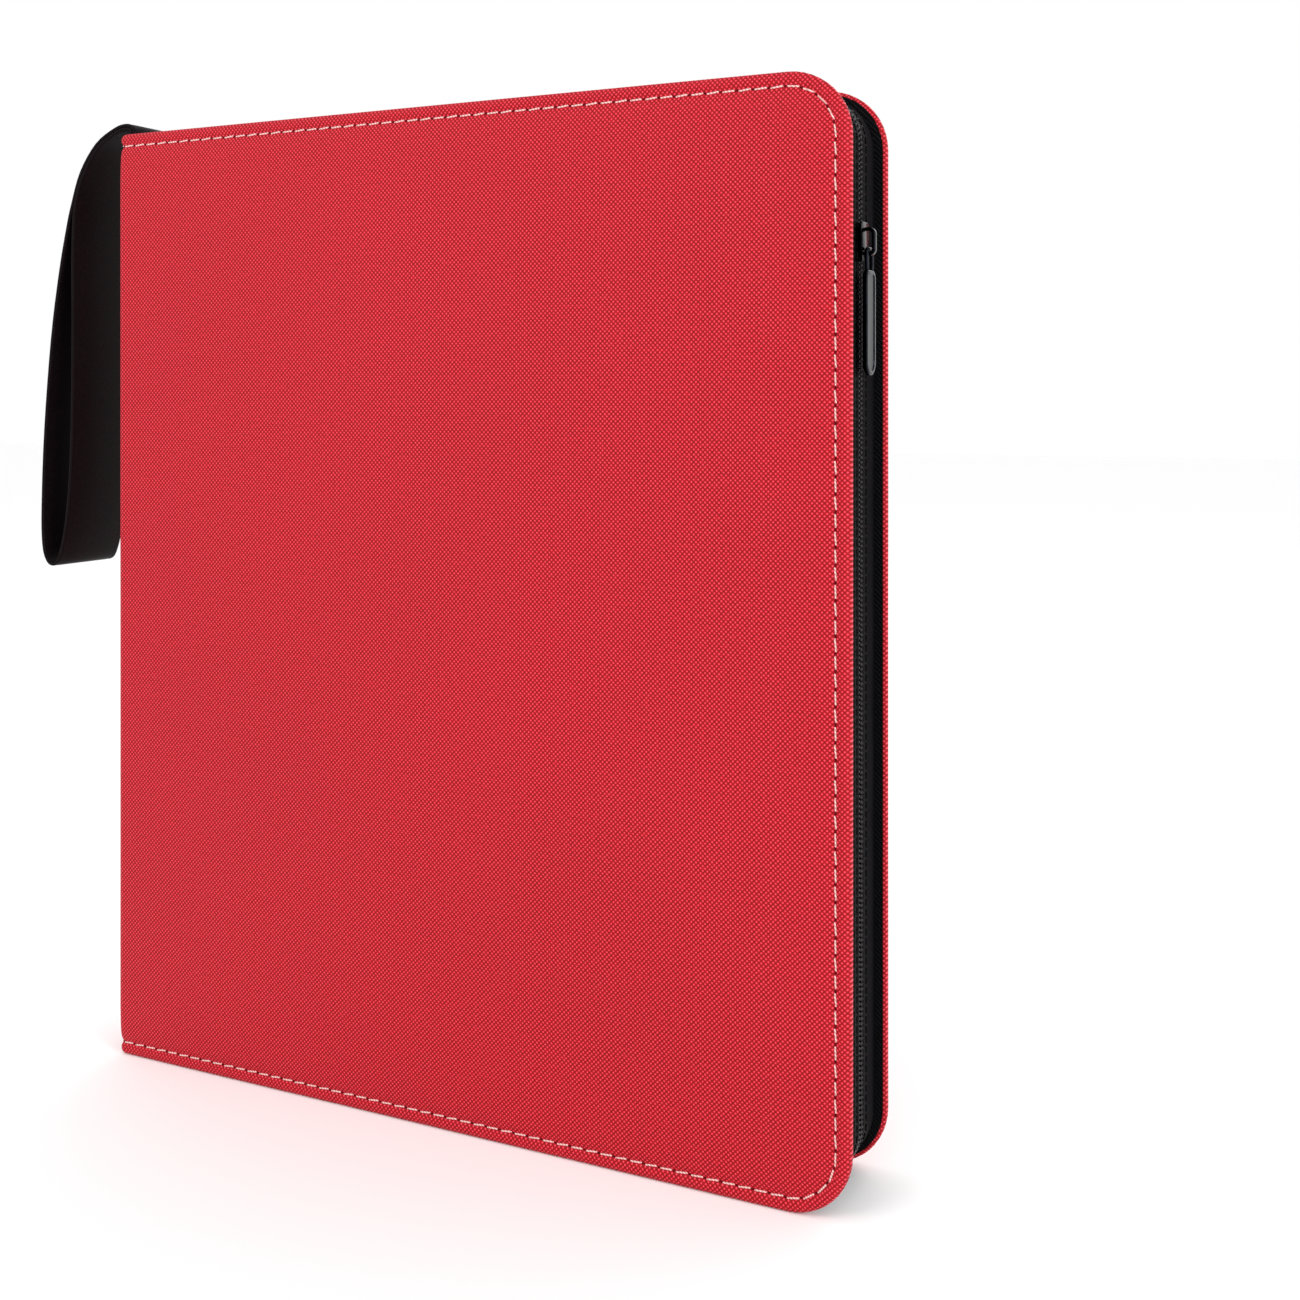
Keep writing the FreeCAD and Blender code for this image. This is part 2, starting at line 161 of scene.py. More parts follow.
CENTRE = Vector((0.14, 0.0, 0.17))  # what the lights aim at, in metres
for name, place, size, watts in (
    ("key_softbox", (-0.45, -1.3, 1.25), 0.9, 8.0),
    ("edge_softbox", (1.4, -0.45, 0.6), 0.5, 7.0),
    ("back_softbox", (0.3, 1.5, 1.2), 1.0, 4.0),
):
    lamp = bpy.data.lights.new(name, "AREA")
    lamp.size = size
    lamp.energy = watts
    light = bpy.data.objects.new(name, lamp)
    light.location = place
    light.rotation_euler = (CENTRE - Vector(place)).to_track_quat("-Z", "Y").to_euler()
    bpy.context.scene.collection.objects.link(light)
print("studio: 3 soft boxes")

# %% [markdown]
# ## Turning a bmesh into a finished piece
# Each piece is shaped in millimetres. finish_piece scales it to metres, counts its open
# edges, sets smooth or flat shading and links it at the origin, unturned and unscaled. Four
# small helpers name the moves that several pieces share.

# %% Mesh helpers
def finish_piece(name, bm, material, smooth=True, sharp=None):
    """Scale a bmesh, make it an object and give it a material. sharp is an angle in degrees."""
    bmesh.ops.scale(bm, vec=(MM,) * 3, verts=bm.verts)
    bmesh.ops.recalc_face_normals(bm, faces=bm.faces)
    for face in bm.faces:
        face.smooth = smooth
    if sharp is not None:
        for edge in bm.edges:
            if len(edge.link_faces) == 2 and edge.calc_face_angle() > math.radians(sharp):
                edge.smooth = False
    open_edges = sum(not edge.is_manifold for edge in bm.edges)
    data = bpy.data.meshes.new(name)
    bm.to_mesh(data)
    bm.free()
    piece = bpy.data.objects.new(name, data)
    piece.data.materials.append(material)
    bpy.context.scene.collection.objects.link(piece)
    print("%-26s %6d faces, %d open edges" % (name, len(data.polygons), open_edges))
    return piece


def flat_sheet(bm, wide, tall, middle=(0, 0, 0)):
    """A flat rectangle in XY, made of one face. Returns its four corners."""
    corners = bmesh.ops.create_grid(bm, x_segments=1, y_segments=1, size=0.5)["verts"]
    bmesh.ops.scale(bm, vec=(wide, tall, 1), verts=corners)
    bmesh.ops.translate(bm, vec=middle, verts=corners)
    return corners


def round_corners(bm, corners, radius, segments):
    """Round some corners of a flat sheet."""
    bmesh.ops.bevel(bm, geom=corners, offset=radius, offset_type="OFFSET", segments=segments,
                    profile=0.5, affect="VERTICES", material=-1)


def extrude(bm, faces, move):
    """Extrude faces and move what grew. Returns the new faces, without the walls."""
    grown = bmesh.ops.extrude_face_region(bm, geom=faces)["geom"]
    ends = [item for item in grown if isinstance(item, bmesh.types.BMFace)]
    bmesh.ops.translate(bm, vec=move, verts=list({v for face in ends for v in face.verts}))
    return ends


def cut_across(bm, places, clear_below=None):
    """Cut a mesh square to X at each place, and clear what is below one of them."""
    for place in places:
        bmesh.ops.bisect_plane(bm, geom=bm.verts[:] + bm.edges[:] + bm.faces[:], dist=1e-5,
                               plane_co=(place, 0, 0), plane_no=(1, 0, 0),
                               clear_inner=place == clear_below)


# %% [markdown]
# ## Grained PU
# The covers are wrapped in polyurethane-coated cloth, rolled hot under a steel cylinder that
# presses a small woven pattern into it: rows of raised pips at 45 degrees, about 1.1 mm apart,
# with pits between. The colour is painted darker in the pits as painted shade and paler on the
# pips as painted highlight. The coating is satin, so its highlights are broad and broken by
# the pips. Two wave textures turned 45 degrees each way make the rows. They read the unrolled
# millimetre UV of the wrap, so the rows run over the rolled spine edge without a break.

# %% Grained PU
GRAIN_PITCH = 1.08
WAVE_TURN = 2 * math.pi / 20  # pitch of a wave texture; diagonal ones are 15 % wider


def crossed_rows(tree, vector, pitch, distortion=0.0):
    """Height of two crossed sets of rows at 45 degrees, from 0 in the pits to 1 on the pips."""
    rows = []
    for angle in (45, -45):
        turned = add_node(tree, "ShaderNodeMapping", inputs={
            "Vector": vector, "Rotation": (0, 0, math.radians(angle))})
        wave = add_node(tree, "ShaderNodeTexWave", {"wave_profile": "SIN"}, {
            "Vector": turned.outputs[0], "Scale": WAVE_TURN / pitch,
            "Distortion": distortion, "Detail": 1.0})
        rows.append(wave.outputs["Fac"])
    return add_node(tree, "ShaderNodeMath", {"operation": "MULTIPLY"},
                    {0: rows[0], 1: rows[1]}).outputs[0]


def colour_ramp(tree, factor, stops):
    """A colour ramp from a list of (place, hex colour)."""
    ramp = add_node(tree, "ShaderNodeValToRGB", inputs={"Fac": factor})
    elements = ramp.color_ramp.elements
    while len(elements) < len(stops):
        elements.new(0.5)
    for element, (place, code) in zip(elements, stops):
        element.position = place
        element.color = srgb(code)
    return ramp.outputs["Color"]


red_pu, tree, shader = new_material("grained_polyurethane_red")
grain_uv = add_node(tree, "ShaderNodeUVMap", {"uv_map": "grain"})
pips = crossed_rows(tree, grain_uv.outputs[0], GRAIN_PITCH, 0.35)
emboss_noise = add_node(tree, "ShaderNodeTexNoise", inputs={
    "Vector": grain_uv.outputs[0], "Scale": 0.9, "Detail": 3.0})
uneven = add_node(tree, "ShaderNodeMath", {"operation": "MULTIPLY_ADD"},
                  {0: emboss_noise.outputs["Fac"], 1: 0.35, 2: -0.175})
height = add_node(tree, "ShaderNodeMath", {"operation": "ADD", "use_clamp": True},
                  {0: pips, 1: uneven.outputs[0]})
# Painted shade and highlight: the ramp paints the pits dark red where shade falls and the pips pale
# red where light falls.
pu_red_painted_pit_shade = colour_ramp(tree, height.outputs[0], (
    (0.0, "#7c0008"), (0.16, "#b90519"), (0.5, "#d0152a"), (0.9, "#e75162")))
cloudy = add_node(tree, "ShaderNodeTexNoise", inputs={
    "Vector": grain_uv.outputs[0], "Scale": 0.012, "Detail": 2.0})
shade = add_node(tree, "ShaderNodeMapRange", inputs={
    "Value": cloudy.outputs["Fac"], "To Min": 0.93, "To Max": 1.05})
tint = add_node(tree, "ShaderNodeHueSaturation", inputs={
    "Color": pu_red_painted_pit_shade, "Value": shade.outputs[0]})
tree.links.new(tint.outputs[0], shader.inputs["Base Color"])
pu_rough = add_node(tree, "ShaderNodeMapRange", inputs={
    "Value": height.outputs[0], "To Min": 0.62, "To Max": 0.42})
tree.links.new(pu_rough.outputs[0], shader.inputs["Roughness"])
pu_bump = add_node(tree, "ShaderNodeBump", inputs={
    "Height": height.outputs[0], "Strength": 0.55, "Distance": 0.00022})
tree.links.new(pu_bump.outputs[0], shader.inputs["Normal"])
shader.inputs["Specular IOR Level"].default_value = 0.2
print("grain pitch %.2f mm" % GRAIN_PITCH)

# %% [markdown]
# ## The wrap of the case
# On the real binder one sheet of PU is glued over foam and greyboard and turned over all
# the edges, so the case is first made flat and folded last. The flat sheet is one rounded
# outline. Insets with a small depth each give it the rolled edge, the valley that the
# stitches pull down, and the crown of the foam. It is then cut at the middle of the spine,
# and each half is folded round its edge of the spine.
# The padding is 1.2 mm of foam on stiff board, far thinner than a cushion, so insets give
# its shape more truly than an inflated cloth would, and they keep the sewn valley sharp.

# %% Fold the flat case
ROLL = 3.0  # outer radius of the folded spine edge
SPINE_FLAT = HALF - ROLL  # flat half-width of the spine
ROLL_END = SPINE_FLAT + ROLL * math.pi / 2  # where the cover's flat panel begins
REACH = ROLL_END + FORE_EDGE - (SPINE_OUT + ROLL)  # flat length from spine middle to fore-edge


def fold(s, z, n, side):
    """A point s along the flat case, z up and n above its surface, on the folded case."""
    s = abs(s)
    if s <= SPINE_FLAT:
        x, y = SPINE_OUT - n, s
    elif s < ROLL_END:
        turn = (s - SPINE_FLAT) / ROLL
        x = SPINE_OUT + ROLL - (ROLL + n) * math.cos(turn)
        y = SPINE_FLAT + (ROLL + n) * math.sin(turn)
    else:
        x, y = SPINE_OUT + ROLL + s - ROLL_END, HALF + n
    return Vector((max(x, SPINE_OUT - n), side * min(y, HALF + n), z))


print("flat case %.1f x %.1f mm" % (2 * REACH, HEIGHT))

# %% Shape the wrap
EDGE_STEPS = (  # width and depth of each inset from the rolled edge to the crown
    (0.3, 0.85), (0.6, 0.62), (0.9, 0.36), (1.2, 0.02), (0.9, -0.47), (0.5, -0.28),
    (0.5, 0.02), (0.5, 0.26), (0.9, 0.38), (1.8, 0.26), (3.5, 0.16), (6.0, 0.10), (2.0, 0.0))
UNDER_STEPS = ((0.25, 0.55), (0.65, 0.20))
SIDE_LOW, SIDE_HIGH = -3.2, -1.9  # the upright part of the edge, below the outer face
ROLL_CUTS = 6                     # straight pieces in the folded spine edge
BEND_CUTS = (                     # where the inside of the wall bends, from the spine's middle
    13.05, 13.9, 14.7, 15.4, 16.05, 22.66, 23.4, 24.2, 25.0, 25.7)
CORNER_STEPS = 12  # straight pieces in a cover's rounded corner


def flat_case():
    """Half of the case, opened flat: X along the case, Y up the binder, Z through the wall."""
    bm = bmesh.new()
    outline = flat_sheet(bm, 2 * REACH, HEIGHT, (0, HEIGHT / 2, SIDE_LOW))
    round_corners(bm, outline, CORNER, CORNER_STEPS)
    under = bm.faces[:][0]
    top = extrude(bm, [under], (0, 0, SIDE_HIGH - SIDE_LOW))[0]
    bmesh.ops.recalc_face_normals(bm, faces=bm.faces)
    for face, steps in ((top, EDGE_STEPS), (under, UNDER_STEPS)):
        for width, depth in steps:
            bmesh.ops.inset_region(bm, faces=[face], thickness=width, depth=depth,
                                   use_even_offset=True, use_boundary=True)
    cuts = [SPINE_FLAT + i * (ROLL_END - SPINE_FLAT) / ROLL_CUTS for i in range(ROLL_CUTS + 1)]
    cut_across(bm, (0.0, *cuts, *BEND_CUTS), clear_below=0.0)
    rim = [edge for edge in bm.edges if edge.is_boundary]
    for edge in rim:
        edge.smooth = False
    bmesh.ops.holes_fill(bm, edges=rim, sides=0)
    return bm


def fold_piece(bm, side):
    """Fold everything in a flat mesh round one edge of the spine."""
    for vert in bm.verts:
        vert.co = fold(vert.co.x, vert.co.y, vert.co.z, side)


for name, side in SIDES.items():
    bm = flat_case()
    layer = bm.loops.layers.uv.new("grain")
    for face in bm.faces:
        for loop in face.loops:
            loop[layer].uv = (side * loop.vert.co.x, loop.vert.co.y)
    fold_piece(bm, side)
    bmesh.ops.remove_doubles(bm, verts=bm.verts, dist=0.002)
    wrap = finish_piece(name + "_wrap", bm, red_pu)
    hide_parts(name + "_skin", name + "_foam", name + "_board",
                *(("spine_skin", "spine_board", "strap_anchor") if name == "front" else ()))
    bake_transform(wrap)

# %% [markdown]
# ## Stitching
# A lockstitch in pale thread runs round the whole case, 4.6 mm in from the edge. Each stitch
# is a short length of twisted thread pulled down at both ends, about 4 mm long at a 5.2 mm
# pitch, and it lies a little askew. Each is one bevelled block, since there are hundreds.
# Between stitches a small dark red block in the valley is painted shade in the needle hole.

# %% Thread
def thread_material(name, dark, light):
    """Spun polyester thread: matt, with fine diagonal twist lines."""
    material, tree, shader = new_material(name)
    place = add_node(tree, "ShaderNodeTexCoord")
    twist = add_node(tree, "ShaderNodeTexWave", {"bands_direction": "DIAGONAL"}, {
        "Vector": place.outputs["Object"], "Scale": WAVE_TURN / 0.0006, "Distortion": 0.6})
    colour = colour_ramp(tree, twist.outputs["Fac"], ((0.1, dark), (0.8, light)))
    tree.links.new(colour, shader.inputs["Base Color"])
    bump = add_node(tree, "ShaderNodeBump", inputs={
        "Height": twist.outputs["Fac"], "Strength": 0.5, "Distance": 0.0001})
    tree.links.new(bump.outputs[0], shader.inputs["Normal"])
    shader.inputs["Roughness"].default_value = 0.75
    shader.inputs["Specular IOR Level"].default_value = 0.1
    return material


pale_thread = thread_material("polyester_thread_pale", "#c98f8c", "#f3d6d0")
# Painted shade: dark red for the shade inside the needle holes, drawn with the thread's twist
# pattern.
needle_hole_shade = thread_material("painted_needle_hole_shade", "#3a0006", "#5c0710")
black_thread = thread_material("polyester_thread_black", "#030303", "#131315")


def cover_path(inset, start, end_x=FORE_EDGE):
    """Length, and a function from a length to (along, up, heading), of an inset cover edge.

    The path runs along the bottom from start, round both corners, and back along the top."""
    r = CORNER - inset
    run = end_x - CORNER - start
    rise = HEIGHT - 2 * CORNER
    bend = r * math.pi / 2
    total = 2 * (run + bend) + rise

    def at(t):
        if t <= run:
            return start + t, inset, 0.0
        if t <= run + bend:
            a = (t - run) / r
            return end_x - CORNER + r * math.sin(a), CORNER - r * math.cos(a), a
        if t <= run + bend + rise:
            return end_x - inset, CORNER + t - run - bend, math.pi / 2
        x, z, a = at(total - t)
        return x, HEIGHT - z, math.pi - a
    return total, at


STITCH_INSET = 4.6
STITCH_PITCH = 5.2
STITCH_SIZE = (4.0, 0.55, 0.5)
STITCH_LEVEL = -0.72   # middle of the thread, in the sewn valley
STITCH_LEANS = (3, 6)  # degrees, taken in turn
HOLE_SIZE = (0.95, 0.8, 0.3)
HOLE_LEVEL = STITCH_LEVEL - 0.12


def add_block(bm, size, matrix):
    """A box of a given size, turned and placed by a matrix."""
    bmesh.ops.create_cube(bm, size=1.0, matrix=matrix @ Matrix.Diagonal((*size, 1.0)))


def soften(bm, width):
    """Bevel every edge of a mesh."""
    bmesh.ops.bevel(bm, geom=bm.edges[:], offset=width, offset_type="OFFSET",
                    segments=1, profile=0.5, affect="EDGES", material=-1)


for name, side in SIDES.items():
    length, at = cover_path(STITCH_INSET, 0.0, REACH)
    count = round(length / STITCH_PITCH)
    threads, hole_shades = bmesh.new(), bmesh.new()
    for i in range(count):
        s, z, heading = at((i + 0.5) * length / count)
        lean = math.radians(STITCH_LEANS[i % 2])
        add_block(threads, STITCH_SIZE, Matrix.Translation((s, z, STITCH_LEVEL))
                  @ Matrix.Rotation(heading + lean, 4, "Z"))
        # Painted shade: a dark block in the needle hole between this stitch and the next.
        s, z, heading = at((i + 1) * length / count)
        if i < count - 1:
            add_block(hole_shades, HOLE_SIZE, Matrix.Translation((s, z, HOLE_LEVEL))
                      @ Matrix.Rotation(heading, 4, "Z"))
    for kind, bm, width, material in (("_stitching", threads, 0.19, pale_thread),
                                      ("_needle_hole_shade", hole_shades, 0.12, needle_hole_shade)):
        soften(bm, width)
        fold_piece(bm, side)
        piece = finish_piece(name + kind, bm, material)
        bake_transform(piece)

# %% [markdown]
# ## Gusset cloth, zip tape and coil
# Between the covers a band of black nylon cloth stands on each cover's lining, and the zip
# tape is sewn over its free edge. Each band is one cross-section carried along the bottom,
# round two corners and back along the top, which is an extrude, a spin, an extrude, a spin
# and an extrude. The cloth is slightly slack, so it bellies out and waves a little.

# %% Carry a section round the open edges
def carry_round(section, start, side, run_steps=1):
    """A closed band: section is a loop of (distance behind the edge, distance from the middle)."""
    bm = bmesh.new()
    loop = [bm.verts.new((start, side * y, inset)) for inset, y in section]
    end = [bm.faces.new(loop)]
    run = FORE_EDGE - CORNER - start
    rise = HEIGHT - 2 * CORNER
    for step, centre in ((Vector((run, 0, 0)), (FORE_EDGE - CORNER, 0, CORNER)),
                         (Vector((0, 0, rise)), (FORE_EDGE - CORNER, 0, HEIGHT - CORNER)),
                         (Vector((-run, 0, 0)), None)):
        for _ in range(run_steps):
            end = extrude(bm, end, step / run_steps)
        if centre:
            turned = bmesh.ops.spin(bm, geom=end, cent=centre, axis=(0, -1, 0), dvec=(0, 0, 0),
                                    angle=math.pi / 2, steps=CORNER_STEPS,
                                    use_duplicate=False)
            end = [item for item in turned["geom_last"] if isinstance(item, bmesh.types.BMFace)]
    bmesh.ops.remove_doubles(bm, verts=bm.verts, dist=1e-4)
    inner = [face for face in bm.faces if all(len(e.link_faces) > 2 for e in face.edges)]
    bmesh.ops.delete(bm, geom=inner, context="FACES_ONLY")
    return bm


# %% [markdown]
# ## Black nylon
# The gusset is plain nylon cloth, nearly matt. The zip tape is a warp knit whose ribs
# run along the zipper, about 0.7 mm apart. The lining is a flatter polyester weave.

# %% Black cloths
def black_cloth(name, dark, light, pitch, direction, rough, sheen=0.0):
    """A black woven or knitted cloth: ribs at a pitch in mm, broken up by a fine noise."""
    material, tree, shader = new_material(name)
    place = add_node(tree, "ShaderNodeTexCoord")
    ribs = add_node(tree, "ShaderNodeTexWave", {"bands_direction": direction}, {
        "Vector": place.outputs["Object"], "Scale": WAVE_TURN / (pitch * MM),
        "Distortion": 0.8, "Detail": 1.0})
    fibre = add_node(tree, "ShaderNodeTexNoise", inputs={
        "Vector": place.outputs["Object"], "Scale": 1 / (0.9 * pitch * MM), "Detail": 2.0})
    mixed = add_node(tree, "ShaderNodeMath", {"operation": "MULTIPLY"},
                     {0: ribs.outputs["Fac"], 1: fibre.outputs["Fac"]})
    colour = colour_ramp(tree, mixed.outputs[0], ((0.15, dark), (0.6, light)))
    tree.links.new(colour, shader.inputs["Base Color"])
    bump = add_node(tree, "ShaderNodeBump", inputs={
        "Height": mixed.outputs[0], "Strength": 0.6, "Distance": 0.00018})
    tree.links.new(bump.outputs[0], shader.inputs["Normal"])
    shader.inputs["Roughness"].default_value = rough
    shader.inputs["Specular IOR Level"].default_value = 0.03
    shader.inputs["Sheen Weight"].default_value = sheen
    shader.inputs["Sheen Roughness"].default_value = 0.4
    return material


# Painted highlight in part: the gusset cloth's lighter specks are partly its knit's own tone and
# partly painted glints of light on its fibres.
gusset_cloth = black_cloth("nylon_gusset_cloth", "#020203", "#1a1a1e", 0.55, "DIAGONAL", 0.6)
tape_knit = black_cloth("polyester_zip_tape", "#010101", "#0d0d0f", 0.7, "Y", 0.42)
lining_weave = black_cloth("polyester_lining", "#060607", "#18181b", 0.8, "DIAGONAL", 0.7, 0.03)

# %% Gusset and tape
GUSSET_SECTION = ((3.95, 15.98), (3.6, 14.2), (3.3, 11.6), (3.55, 9.0), (4.03, 7.2), (4.03, 5.1),
                  (4.9, 5.1), (4.9, 7.2), (4.5, 9.0), (4.3, 11.6), (4.6, 14.2), (4.9, 15.98))
TAPE_SECTION = ((3.45, 7.0), (3.3, 6.7), (3.38, 5.2), (3.42, 2.6), (3.2, 1.95), (3.3, 1.2),
                (4.1, 1.2), (4.0, 1.95), (4.0, 6.8), (3.98, 7.0))
SLACK = 0.28                           # how far the gusset cloth waves, in mm
SLACK_MIDDLE, SLACK_REACH = 11.0, 4.5  # where it waves most, and how far from there, in Y
WAVE_SCALE = 0.05                      # waves per mm
GUSSET_STEPS = 60                      # pieces in each straight run of the gusset


def outward(point):
    """Which way is out, square to the binder's edge, at a point of the gusset."""
    x, z = point.x, point.z
    inner_x, low, high = FORE_EDGE - CORNER, CORNER, HEIGHT - CORNER
    dx = max(0.0, x - inner_x)
    dz = z - low if z < low else (z - high if z > high else 0.0)
    return Vector((dx, 0, dz)).normalized() if dx or dz else Vector((1, 0, 0))


for name, side in SIDES.items():
    bm = carry_round(GUSSET_SECTION, GUSSET_START, side, GUSSET_STEPS)
    for vert in bm.verts:
        slack = SLACK * max(0.0, 1 - abs(abs(vert.co.y) - SLACK_MIDDLE) / SLACK_REACH)
        wave = noise.noise(Vector((vert.co.x * WAVE_SCALE, side * 7.0, vert.co.z * WAVE_SCALE)))
        vert.co += outward(vert.co) * slack * wave
    gusset = finish_piece(name + "_gusset_cloth", bm, gusset_cloth, sharp=50)
    bm = carry_round(TAPE_SECTION, GUSSET_START, side)
    tape = finish_piece(name + "_tape", bm, tape_knit, sharp=50)
    for piece, node, slot in ((gusset, "_gusset", "black_lining"), (tape, "_zip_tape", "zip_tape")):
        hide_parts(name + node)
        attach(piece, name + "_cover")

# %% [markdown]
# ## Zipper teeth
# A nylon coil zipper is a glossy monofilament wound in a spiral and sewn along the tape, and
# from outside each turn shows as a short rounded bar across the tape. The turns are drawn as
# bevelled blocks at a 1.5 mm pitch, the two halves half a pitch apart. They stop just short
# of meshing, because the slider's wedge has to pass between them at every place it slides to.

# %% Teeth
coil, tree, shader = new_material("nylon_coil_gloss_black")
place = add_node(tree, "ShaderNodeTexCoord")
mould = add_node(tree, "ShaderNodeTexNoise", inputs={
    "Vector": place.outputs["Object"], "Scale": 900.0, "Detail": 2.0})
coil_colour = colour_ramp(tree, mould.outputs["Fac"], ((0.3, "#040405"), (0.7, "#0e0e11")))
tree.links.new(coil_colour, shader.inputs["Base Color"])
coil_rough = add_node(tree, "ShaderNodeMapRange", inputs={
    "Value": mould.outputs["Fac"], "To Min": 0.16, "To Max": 0.34})
tree.links.new(coil_rough.outputs[0], shader.inputs["Roughness"])
shader.inputs["Specular IOR Level"].default_value = 0.25

TOOTH_PITCH = 1.5
TOOTH_SIZE = (0.95, 1.62, 1.25)              # along the zipper, across it, and through it
TOOTH_MIDDLE = 1.14                          # leaves room for the slider's wedge between the halves
TOOTH_SHIFT = {"front": 0.25, "back": 0.75}  # in pitches, so the halves alternate
CHAIN_INSET = 3.7
for name, side in SIDES.items():
    length, at = cover_path(CHAIN_INSET, CHAIN_START)
    count = int(length / TOOTH_PITCH)
    bm = bmesh.new()
    for i in range(count):
        x, z, heading = at((i + TOOTH_SHIFT[name]) * length / count)
        add_block(bm, TOOTH_SIZE, Matrix.Translation((x, side * TOOTH_MIDDLE, z))
                  @ Matrix.Rotation(-heading, 4, "Y"))
    soften(bm, 0.28)
    teeth = finish_piece(name + "_zip_teeth", bm, coil)
    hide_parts(name + "_zip_chain")
    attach(teeth, name + "_cover")

# %% [markdown]
# ## Tape seams
# Two rows of black stitches hold the tape to the gusset and the coil to the tape. They are
# black on black, so only their relief shows.

# %% Tape seams
SEAM_ROWS = ((3.2, 6.0), (3.28, 2.75))  # distance behind the edge, and from the middle
SEAM_PITCH = 3.0
SEAM_STITCH = (2.3, 0.45, 0.35)
for name, side in SIDES.items():
    bm = bmesh.new()
    for inset, across in SEAM_ROWS:
        length, at = cover_path(inset, GUSSET_START + 1)
        count = int(length / SEAM_PITCH)
        for i in range(count):
            x, z, heading = at((i + 0.5) * length / count)
            add_block(bm, SEAM_STITCH, Matrix.Translation((x, side * across, z))
                      @ Matrix.Rotation(-heading, 4, "Y"))
    soften(bm, 0.13)
    seams = finish_piece(name + "_tape_seams", bm, black_thread)
    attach(seams, name + "_cover")

# %% [markdown]
# ## End gussets and hinge linings
# At both ends of the spine the gusset folds down into a soft wedge that opens like a bellows
# with the cover, and inside each fold a strip of lining covers the hinge. Each is a thin piece
# made in its shut place and not attached to any body.

# %% End gussets
BELLOWS_NEAR, BELLOWS_FAR = 2.1, 9.9  # in X, from the spine's lining to the gusset
BELLOWS_LINE = ((BELLOWS_NEAR, 0.15), (BELLOWS_NEAR, 13.0),
                (BELLOWS_FAR, 15.9), (BELLOWS_FAR, 0.45))
BELLOWS_INSET = 4.05  # behind the case's bottom and top edges
BELLOWS_THICK = 0.9
BELLOWS_STEPS = 14
for name, side in SIDES.items():
    bm = bmesh.new()
    for low in (BELLOWS_INSET, HEIGHT - BELLOWS_INSET - BELLOWS_THICK):
        face = bm.faces.new([bm.verts.new((x, side * y, low)) for x, y in BELLOWS_LINE])
        extrude(bm, [face], (0, 0, BELLOWS_THICK))
    step = (BELLOWS_FAR - BELLOWS_NEAR) / BELLOWS_STEPS
    cut_across(bm, [BELLOWS_NEAR + i * step for i in range(1, BELLOWS_STEPS)])
    bellows = finish_piece(name + "_end_gusset", bm, gusset_cloth, sharp=40)
    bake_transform(bellows)
    if name == "front":
        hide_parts("spine_end_gussets")

# %% Hinge linings
STRIP_LINE = ((2.02, 11.0), (2.25, 11.3), (2.3, 12.9), (2.35, 13.7), (2.45, 14.5), (2.7, 15.2),
              (3.4, 15.55), (4.2, 15.65), (5.0, 15.7), (8.7, 15.75), (9.0, 15.98), (5.0, 15.99),
              (4.2, 15.99), (3.2, 15.99), (2.4, 15.9), (2.02, 15.2), (2.02, 14.4), (2.02, 13.0))
for name, side in SIDES.items():
    bm = bmesh.new()
    face = bm.faces.new([bm.verts.new((x, side * y, LINING_INSET)) for x, y in STRIP_LINE])
    extrude(bm, [face], (0, 0, HEIGHT - 2 * LINING_INSET))
    strip = finish_piece(name + "_hinge_lining", bm, lining_weave, sharp=40)
    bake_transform(strip)

# %% [markdown]
# ## Linings
# Each cover and the spine are faced inside with black polyester cloth, glued down with its
# edges turned under, which rounds them.

# %% Linings
def lining_panel(x0, x1, radius):
    """A cloth panel with rounded corners at its far X end, flat in XY, 0.45 mm thick."""
    bm = bmesh.new()
    middle = (x0 + x1) / 2
    corners = flat_sheet(bm, x1 - x0, HEIGHT - 2 * LINING_INSET, (middle, HEIGHT / 2, 0))
    if radius:
        far = [v for v in corners if v.co.x > middle]
        round_corners(bm, far, radius, CORNER_STEPS)
    top = extrude(bm, bm.faces[:], (0, 0, 0.3))
    bmesh.ops.recalc_face_normals(bm, faces=bm.faces)
    bmesh.ops.inset_region(bm, faces=top, thickness=0.35, depth=0.15, use_even_offset=True)
    bmesh.ops.inset_region(bm, faces=top, thickness=1.5, depth=0.0, use_even_offset=True)
    return bm


LINING_START = 2.05         # near end of a cover's lining, in X
COVER_LINING_LEVEL = 16.45  # glued side of a cover's lining, in Y
SPINE_LINING_LEVEL = 1.55   # glued side of the spine's lining, in X
SPINE_LINING_HALF = 15.9
for name, side in SIDES.items():
    bm = lining_panel(LINING_START, FORE_EDGE - LINING_INSET, CORNER - LINING_INSET)
    for vert in bm.verts:
        vert.co = Vector((vert.co.x, side * (COVER_LINING_LEVEL - vert.co.z), vert.co.y))
    panel = finish_piece(name + "_lining_cloth", bm, lining_weave)
    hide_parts(name + "_lining")
    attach(panel, name + "_cover")
bm = lining_panel(-SPINE_LINING_HALF, SPINE_LINING_HALF, 0)
for vert in bm.verts:
    vert.co = Vector((SPINE_LINING_LEVEL + vert.co.z, vert.co.x, vert.co.y))
spine_panel = finish_piece("spine_lining_cloth", bm, lining_weave)
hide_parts("spine_lining")
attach(spine_panel, "spine")

# %% [markdown]
# ## Wrist strap
# The strap is one flat ribbon of soft black PU, 30 mm wide and 1.3 mm thick. It leaves the
# spine's top edge doubled, opens into a hanging loop, and comes back. It is modelled directly
# along its own middle line, because a remesh or a cloth run would lose so thin a ribbon. The
# line is a smooth curve through thirty points, and the section has rounded edges.

